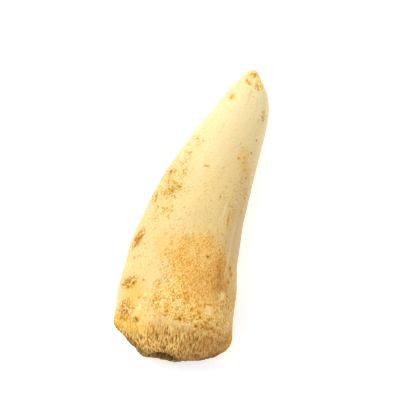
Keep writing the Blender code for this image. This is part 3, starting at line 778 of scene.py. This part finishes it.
def skin_faces(rings):
    """Corner numbers of the quads between the rings, and of the fans at both ends."""
    start, end = rings * COLUMNS, rings * COLUMNS + 1
    ring = np.arange(COLUMNS)
    beside = (ring + 1) % COLUMNS
    rows = np.arange(rings - 1)[:, None] * COLUMNS
    quads = np.stack([
        rows + ring, rows + beside, rows + COLUMNS + beside, rows + COLUMNS + ring
    ], axis=-1)
    last = (rings - 1) * COLUMNS
    fans = [(start, int(j), int(i)) for i, j in zip(ring, beside)]
    fans += [(end, int(last + i), int(last + j)) for i, j in zip(ring, beside)]
    return quads.reshape(-1, 4).tolist() + fans


def add_attribute(mesh, name, values):
    """Keeps a value or a place for each point of the mesh, under this name."""
    kind, field = ("FLOAT_VECTOR", "vector") if values.shape[1] == 3 else ("FLOAT", "value")
    attribute = mesh.attributes.new(name, kind, "POINT")
    attribute.data.foreach_set(field, values.astype(np.float32).ravel())


def add_object(name, data):
    """A new object in the scene that shows this data."""
    added = bpy.data.objects.new(name, data)
    bpy.context.scene.collection.objects.link(added)
    return added


def make_skin():
    """The tooth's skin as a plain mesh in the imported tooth's place, with what the finish reads."""
    rings, reads = tooth_rings()
    first = np.array(HOLLOW_CENTRE) + (0.0, HOLLOW_DEPTH, 0.0)
    points = np.concatenate([rings.reshape(-1, 3), [first], [rings[-1].mean(axis=0)]])
    low, high = (np.array(corner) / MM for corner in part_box("tooth"))
    shift = (low + high - points.min(axis=0) - points.max(axis=0)) / 2.0
    shift[2] = 0.0
    mesh = bpy.data.meshes.new("fossil_fang")
    mesh.from_pydata((points + shift) * MM, [], skin_faces(len(rings)))
    for name, values in reads.items():
        flat = values.reshape(len(rings) * COLUMNS, -1)
        ends = [flat[:COLUMNS].mean(axis=0), flat[-COLUMNS:].mean(axis=0)]
        add_attribute(mesh, name, np.concatenate([flat, ends]))
    mesh.shade_smooth()
    return add_object("fossil_fang", mesh)


def paint(name):
    """A named colour in the linear values that nodes take."""
    shown = np.array(COLOURS[name]) / 255.0
    linear = np.where(shown <= 0.04045, shown / 12.92, ((shown + 0.055) / 1.055) ** 2.4)
    return (*linear.tolist(), 1.0)


def new_material(name, settings):
    """A material and its shader, with these inputs set."""
    material = bpy.data.materials.new(name)
    material.use_nodes = True
    shader = material.node_tree.nodes["Principled BSDF"]
    for key, value in settings.items():
        shader.inputs[key].default_value = value
    return material, shader


class Nodes:
    """Adds nodes to a tree. Each input is given as a value or as the socket that feeds it."""

    def __init__(self, tree):
        self.tree = tree

    def add(self, kind, inputs=None, **settings):
        node = self.tree.nodes.new(kind)
        for name, value in settings.items():
            setattr(node, name, value)
        for key, value in (inputs or {}).items():
            self.feed(node.inputs[key], value)
        return node

    def feed(self, socket, value):
        if isinstance(value, bpy.types.NodeSocket):
            self.tree.links.new(value, socket)
        else:
            socket.default_value = value

    def math(self, operation, *values):
        inputs = dict(enumerate(values))
        return self.add("ShaderNodeMath", inputs, operation=operation).outputs[0]

    def scaled(self, vector, factors):
        inputs = {0: vector, 1: factors}
        return self.add("ShaderNodeVectorMath", inputs, operation="MULTIPLY").outputs[0]

    def in_millimetres(self, place):
        return self.scaled(place, (1.0 / MM, 1.0 / MM, 1.0 / MM))

    def noise(self, vector, size, detail, roughness, seed):
        """Noise from 0 to 1 whose lumps have about this size."""
        scale = self.math("DIVIDE", 1.0, size)
        inputs = {
            "Vector": vector, "Scale": scale, "Detail": detail, "Roughness": roughness,
            "W": seed,
        }
        return self.add("ShaderNodeTexNoise", inputs, noise_dimensions="4D").outputs[0]

    def stretch(self, value, low, high, to_low=0.0, to_high=1.0):
        """A value from low to high spread smoothly over another range."""
        inputs = {
            "Value": value, "From Min": low, "From Max": high, "To Min": to_low,
            "To Max": to_high,
        }
        node = self.add("ShaderNodeMapRange", inputs, interpolation_type="SMOOTHSTEP")
        return node.outputs[0]


class ReliefNodes(Nodes):
    """Nodes of the relief, with the sizes given to the tree and what the skin holds."""

    def __init__(self, tree):
        super().__init__(tree)
        self.given = self.add("NodeGroupInput").outputs

    def read(self, name, kind="FLOAT"):
        inputs = {"Name": name}
        return self.add("GeometryNodeInputNamedAttribute", inputs, data_type=kind).outputs[0]

    def lumps(self, name):
        """Lumps from -1 to 1 of the size given under this name."""
        place, drawn_out, detail = RELIEF_PATTERNS[name]
        vector = self.scaled(self.read(place, "FLOAT_VECTOR"), drawn_out)
        settings = (self.given[name], detail, LUMP_ROUGHNESS, self.given["Seed"])
        return self.stretch(self.noise(vector, *settings), *LUMP_RANGE, -1.0, 1.0)

    def crumbs(self):
        """Crumbs from -1 to 1, on the same places as the finish paints them."""
        place = self.in_millimetres(self.add("GeometryNodeInputPosition").outputs[0])
        settings = (self.given["Crumb size"], *CRUMB_NOISE, self.given["Seed"])
        return self.stretch(self.noise(place, *settings), *LUMP_RANGE, -1.0, 1.0)

    def pores(self):
        """-1 in the middle of each pore and 0 between them."""
        cells = self.add("ShaderNodeTexVoronoi", {
            "Vector": self.scaled(self.read("growth", "FLOAT_VECTOR"), PORES_DRAWN_OUT),
            "Scale": self.math("DIVIDE", 1.0, self.given["Pore spacing"]),
            "W": self.given["Seed"],
        }, voronoi_dimensions="4D")
        hole = self.stretch(cells.outputs["Distance"], *PORE_REACH, -1.0, 0.0)
        chosen = self.stretch(cells.outputs["Color"], *PORES_CHOSEN)
        return self.math("MULTIPLY", hole, chosen)


def relief_height(nodes):
    """Height of the fine relief in millimetres, from the sizes given to the tree."""
    def over(pattern, cover):
        return nodes.math("MULTIPLY", pattern, cover)

    bare = nodes.read("bare")
    outer_end = over(nodes.read("broken"), nodes.math("SUBTRACT", 1.0, nodes.read("hollow")))
    height = 0.0
    for share, size in (
        (over(nodes.lumps("Grain size"), bare), "Grain height"),
        (over(nodes.lumps("Fibre width"), outer_end), "Fibre height"),
        (nodes.lumps("Enamel wave"), "Enamel height"),
        (over(nodes.lumps("Chip grain"), nodes.read("chip")), "Chip height"),
        (over(nodes.pores(), bare), "Pore depth"),
        (nodes.read("mark"), "Mark depth"),
        (over(nodes.crumbs(), nodes.read("crumble")), "Crumb height"),
    ):
        height = nodes.math("MULTIPLY_ADD", share, nodes.given[size], height)
    return height


def raised_skin(nodes):
    """The skin moved out by the relief's height, which it keeps for the finish."""
    height = relief_height(nodes)
    kept = nodes.add("GeometryNodeStoreNamedAttribute", {
        "Geometry": nodes.given["Skin"], "Name": "relief", "Value": height,
    }, data_type="FLOAT", domain="POINT")
    step = nodes.add("ShaderNodeVectorMath", {
        0: nodes.add("GeometryNodeInputNormal").outputs[0],
        "Scale": nodes.math("MULTIPLY", height, MM),
    }, operation="SCALE")
    return nodes.add("GeometryNodeSetPosition", {
        "Geometry": kept.outputs[0], "Offset": step.outputs[0],
    }).outputs[0]


def kept_above_floor(nodes, geometry):
    """The geometry with nothing below the floor that it lies on."""
    place = nodes.add("GeometryNodeInputPosition").outputs[0]
    across, along, up = nodes.add("ShaderNodeSeparateXYZ", {0: place}).outputs
    up = nodes.math("MAXIMUM", up, 0.0)
    above = nodes.add("ShaderNodeCombineXYZ", {0: across, 1: along, 2: up}).outputs[0]
    return nodes.add("GeometryNodeSetPosition", {
        "Geometry": geometry, "Position": above,
    }).outputs[0]


def relief_tree(finish):
    """Tree that raises the skin's fine relief and dresses the result."""
    tree = bpy.data.node_groups.new("tooth relief", "GeometryNodeTree")
    tree.interface.new_socket("Skin", in_out="INPUT", socket_type="NodeSocketGeometry")
    for name, size in RELIEF.items():
        socket = tree.interface.new_socket(name, in_out="INPUT", socket_type="NodeSocketFloat")
        socket.default_value = size
    tree.interface.new_socket("Skin", in_out="OUTPUT", socket_type="NodeSocketGeometry")
    nodes = ReliefNodes(tree)
    rested = kept_above_floor(nodes, raised_skin(nodes))
    whole = nodes.add("GeometryNodeRealizeInstances", {0: rested})
    dressed = nodes.add("GeometryNodeSetMaterial", {
        "Geometry": whole.outputs[0], "Material": finish,
    })
    nodes.add("NodeGroupOutput", {0: dressed.outputs[0]})
    return tree


def raise_relief(skin, tree):
    """Runs the tree on the skin and keeps the result as a plain mesh."""
    modifier = skin.modifiers.new("relief", "NODES")
    modifier.node_group = tree
    for item in tree.interface.items_tree:
        if item.name in RELIEF:
            modifier[item.identifier] = RELIEF[item.name]
    depsgraph = bpy.context.evaluated_depsgraph_get()
    raised = bpy.data.meshes.new_from_object(
        skin.evaluated_get(depsgraph), preserve_all_data_layers=True, depsgraph=depsgraph
    )
    skin.modifiers.clear()
    skin.data = raised


class FinishNodes(Nodes):
    """Nodes of the tooth's material, with its places, patterns and what the skin holds."""

    def __init__(self, tree):
        super().__init__(tree)
        self.places = {
            "growth": self.read("growth", "Vector"),
            "fibres": self.read("fibres", "Vector"),
            "object": self.in_millimetres(self.add("ShaderNodeTexCoord").outputs["Object"]),
        }

    def read(self, name, output="Fac"):
        return self.add("ShaderNodeAttribute", attribute_name=name).outputs[output]

    def pattern(self, name):
        place, drawn_out, *settings = PATTERNS[name]
        return self.noise(self.scaled(self.places[place], drawn_out), *settings)

    def centred(self, pattern):
        """A pattern around 0 instead of a half."""
        return self.math("SUBTRACT", pattern, 0.5)

    def varied(self, value, pattern, amount):
        """The value with this amount of a centred pattern added."""
        return self.math("MULTIPLY_ADD", pattern, amount, value)

    def mix(self, share, first, second):
        """The first colour with this share of the second laid over it."""
        inputs = {0: share, 6: first, 7: second}
        return self.add("ShaderNodeMix", inputs, data_type="RGBA").outputs[2]

    def covered(self, colour, name, cover, share=1.0):
        """A colour with a named one over it, by this share of the cover."""
        if share != 1.0:
            cover = self.math("MULTIPLY", cover, share)
        return self.mix(cover, colour, paint(name))

    def laid(self, colour, name, value, *patterns):
        """A colour with a named one over it as its layer says, by a value that patterns shift."""
        starts, full, share, shift = LAYERS[name]
        for pattern in patterns:
            value = self.varied(value, pattern, shift)
        return self.covered(colour, name, self.stretch(value, starts, full, 0.0, share))


def enamel_colour(nodes):
    """Skin that goes from pale lemon at the tip to tan at the root, with clouds and streaks."""
    cloud = nodes.centred(nodes.pattern("enamel cloud"))
    fleck = nodes.pattern("enamel fleck")
    along = nodes.add("ShaderNodeSeparateXYZ", {0: nodes.places["growth"]}).outputs[2]
    aged = nodes.stretch(nodes.varied(along, cloud, AGE_WANDERS), *ENAMEL_AGES, 1.0, 0.0)
    colour = nodes.mix(aged, paint("lemon enamel"), paint("aged enamel"))
    colour = nodes.laid(colour, "enamel streak", nodes.pattern("enamel streak"))
    speck = nodes.varied(fleck, aged, AGED_SPECKS)
    colour = nodes.laid(colour, "enamel speck", speck, cloud)
    ochre = nodes.read("ochre")
    return nodes.laid(colour, "ochre enamel", ochre, cloud, nodes.centred(fleck))


def bone_colour(nodes):
    """Bare bone of the root: pale to golden grains with brown between them, the palest partly
    painted glints, and painted shade where the relief sinks into pores.
    """
    cloud = nodes.centred(nodes.pattern("bone cloud"))
    grain = nodes.pattern("bone grain")
    colour = nodes.laid(paint("bone crevice"), "golden bone", grain, cloud)
    colour = nodes.laid(colour, "pale bone", grain, cloud)
    colour = nodes.laid(colour, "warm bone", nodes.read("ochre"), cloud)
    colour = nodes.laid(colour, "bone spot", nodes.pattern("bone spot"), cloud)
    # Painted shade where the relief sinks into the pores.
    return nodes.laid(colour, "bone pore", nodes.read("relief"))


def broken_colour(nodes):
    """Broken end: golden fibres with brown between them, the palest partly painted glints, and
    painted shade where the relief sinks and towards the floor.
    """
    fibre = nodes.pattern("broken fibre")
    colour = nodes.laid(paint("fibre crevice"), "golden fibre", fibre)
    colour = nodes.laid(colour, "pale fibre", fibre)
    # Painted shade where the relief sinks between the fibres.
    colour = nodes.laid(colour, "deep fibre", nodes.read("relief"))
    return nodes.covered(colour, "shaded end", nodes.read("low"), END_SHADE)


def speckled(nodes, colour):
    """Lays golden specks with brown middles over a colour, in crowds."""
    crowd = nodes.stretch(nodes.pattern("speck crowd"), *SPECK_CROWDS)
    speck = nodes.math("MULTIPLY", nodes.read("speckle"), crowd)
    speck = nodes.math("ADD", speck, nodes.pattern("speck"))
    colour = nodes.laid(colour, "golden speck", speck)
    return nodes.laid(colour, "brown speck", speck)


def crumbled(nodes, colour, ragged):
    """Lays the crumbled spots over a colour: a golden halo, pale crumbs, and gaps where the crumbs'
    relief sinks, brown and partly painted shade.
    """
    cover = nodes.read("crumble")
    crumb = nodes.pattern("crumb")
    colour = nodes.laid(colour, "crumb halo", cover, ragged)
    loose = nodes.math("MULTIPLY", nodes.stretch(crumb, *LOOSE_CRUMBS), cover)
    colour = nodes.covered(colour, "loose crumb", loose)
    # The gaps follow the sunken crumbs of the relief: their brown is partly painted shade.
    gap = nodes.math("MULTIPLY", nodes.stretch(crumb, *CRUMB_GAPS), cover)
    return nodes.covered(colour, "crumb gap", gap, GAP_SHARE)


def marked(nodes, colour, ragged):
    """Lays the white specks, some of them painted glints, and the brown marks over a colour."""
    colour = nodes.covered(colour, "white speck and glint", nodes.read("white"), WHITE_SHARE)
    mark = nodes.math("MULTIPLY", nodes.read("mark"), MARK_STRENGTH)
    colour = nodes.laid(colour, "mark rim", mark, ragged)
    return nodes.laid(colour, "mark middle", mark, ragged)


def stained(nodes, colour):
    """Lays the stains, specks, crumbled spots and marks over a colour, with the painted tan shade of
    the right side and the painted shade in some of the brown stains.
    """
    ragged = nodes.centred(nodes.pattern("stain rim"))
    colour = nodes.laid(colour, "gold stain", nodes.read("gold"), ragged)
    colour = speckled(nodes, colour)
    colour = nodes.covered(colour, "tan painted shade", nodes.read("tan"), TAN_SHARE)
    colour = nodes.laid(colour, "brown stain and painted shade", nodes.read("brown"), ragged)
    colour = nodes.laid(colour, "pale patch", nodes.read("pale"), ragged)
    colour = crumbled(nodes, colour, ragged)
    return marked(nodes, colour, ragged)


def bare_cover(nodes):
    """How bare the bone is, from 0 to 1, with a ragged and grainy rim."""
    cover = nodes.read("bare")
    bare = nodes.varied(cover, nodes.centred(nodes.pattern("bare rim")), BARE_FRAY)
    bare = nodes.varied(bare, nodes.centred(nodes.pattern("bare grain")), BARE_GRAIN)
    near = nodes.stretch(cover, *BARE_ENDS)
    return nodes.math("MULTIPLY", nodes.stretch(bare, *BARE_SHOWS), near)


def hollowed(nodes, colour):
    """Lays the hollow's painted shade, dark brown with paler fibres in it, over a colour, with a
    ragged rim.
    """
    fibre = nodes.pattern("hollow fibre")
    cover = nodes.math("MULTIPLY", nodes.stretch(fibre, *HOLLOW_FRAY), nodes.read("hollow"))
    hollow = nodes.laid(paint("hollow shade"), "hollow fibre", fibre)
    return nodes.mix(nodes.stretch(cover, *HOLLOW_SHOWS), colour, hollow)


def tooth_colour(nodes, bare):
    """Enamel, bare bone, chip and broken end with their stains, painted shade and painted glints,
    and the hollow's painted shade over them.
    """
    colour = nodes.mix(bare, enamel_colour(nodes), bone_colour(nodes))
    grain = nodes.pattern("bare grain")
    dentine = nodes.laid(paint("pale dentine"), "golden dentine", grain)
    colour = nodes.mix(nodes.read("chip"), colour, dentine)
    colour = nodes.mix(nodes.read("broken"), colour, broken_colour(nodes))
    return hollowed(nodes, stained(nodes, colour))


def worn_cover(nodes, bare):
    """How worn and dull the surface is, from 0 on sound enamel to 1 on bone and in marks."""
    worn = nodes.math("MAXIMUM", nodes.read("chip"), nodes.read("broken"))
    pitted = nodes.math("MAXIMUM", nodes.read("mark"), nodes.read("crumble"))
    return nodes.math("MAXIMUM", nodes.math("MAXIMUM", bare, worn), pitted)


def fossil_finish():
    """Material of the whole tooth: cream enamel, bare golden bone and a brown broken end."""
    material, shader = new_material("fossil tooth", TOOTH_GLOSS)
    nodes = FinishNodes(material.node_tree)
    bare = bare_cover(nodes)
    worn = worn_cover(nodes, bare)
    grain = nodes.stretch(worn, 0.0, 1.0, *FINE_GRAIN)
    bumps = nodes.add("ShaderNodeBump", {
        "Height": nodes.math("MULTIPLY", nodes.pattern("fine grain"), grain),
        "Distance": BUMP_HEIGHT, "Strength": BUMP_STRENGTH,
    })
    nodes.feed(shader.inputs["Base Color"], tooth_colour(nodes, bare))
    nodes.feed(shader.inputs["Roughness"], nodes.stretch(worn, 0.0, 1.0, *ROUGHNESS))
    nodes.feed(shader.inputs["Normal"], bumps.outputs[0])
    return material


def make_floor():
    """A white surface lit a little from beneath, as on a light table."""
    half = FLOOR_SIZE / 2.0
    mesh = bpy.data.meshes.new("floor")
    corners = [(-half, -half, 0.0), (half, -half, 0.0), (half, half, 0.0), (-half, half, 0.0)]
    mesh.from_pydata(corners, [], [(0, 1, 2, 3)])
    mesh.materials.append(new_material("pale floor", FLOOR_FINISH)[0])
    floor = add_object("floor", mesh)


def light_studio():
    """A square lamp aimed at the tooth, and an even sky."""
    lamp = bpy.data.lights.new("key", "AREA")
    lamp.size, lamp.energy, lamp.color = KEY_SIZE, KEY_POWER, KEY_COLOUR
    key = add_object("key", lamp)
    key.location = KEY_PLACE
    key.rotation_euler = Vector(KEY_PLACE).to_track_quat("Z", "Y").to_euler()
    world = bpy.data.worlds.new("pale studio")
    world.use_nodes = True
    sky = world.node_tree.nodes["Background"]
    sky.inputs["Color"].default_value = SKY_COLOUR
    sky.inputs["Strength"].default_value = SKY_STRENGTH
    bpy.context.scene.world = world
    bpy.context.scene.view_settings.view_transform = "Standard"


def make_camera():
    sine, cosine = math.sin(CAMERA_AZIMUTH), math.cos(CAMERA_AZIMUTH)
    flat, rise = math.cos(CAMERA_ELEVATION), math.sin(CAMERA_ELEVATION)
    back = Vector((sine * flat, -cosine * flat, rise))
    right = Vector((cosine, sine, 0.0))
    up = back.cross(right)
    aim = Vector(CAMERA_AIM) + right * CAMERA_RIGHT + up * CAMERA_UP
    turned = Matrix((right, up, back)).transposed()
    data = bpy.data.cameras.new("camera")
    data.lens, data.sensor_width = CAMERA_LENS, CAMERA_SENSOR
    data.clip_start, data.clip_end = CAMERA_CLIP
    camera = add_object("camera", data)
    camera.matrix_world = Matrix.Translation(aim + back * CAMERA_DISTANCE) @ turned.to_4x4()
    bpy.context.scene.camera = camera


def make_tooth():
    finish = fossil_finish()
    skin = make_skin()
    raise_relief(skin, relief_tree(finish))
    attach(skin, "root")
    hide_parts("tooth")


make_tooth()
make_floor()
light_studio()
make_camera()
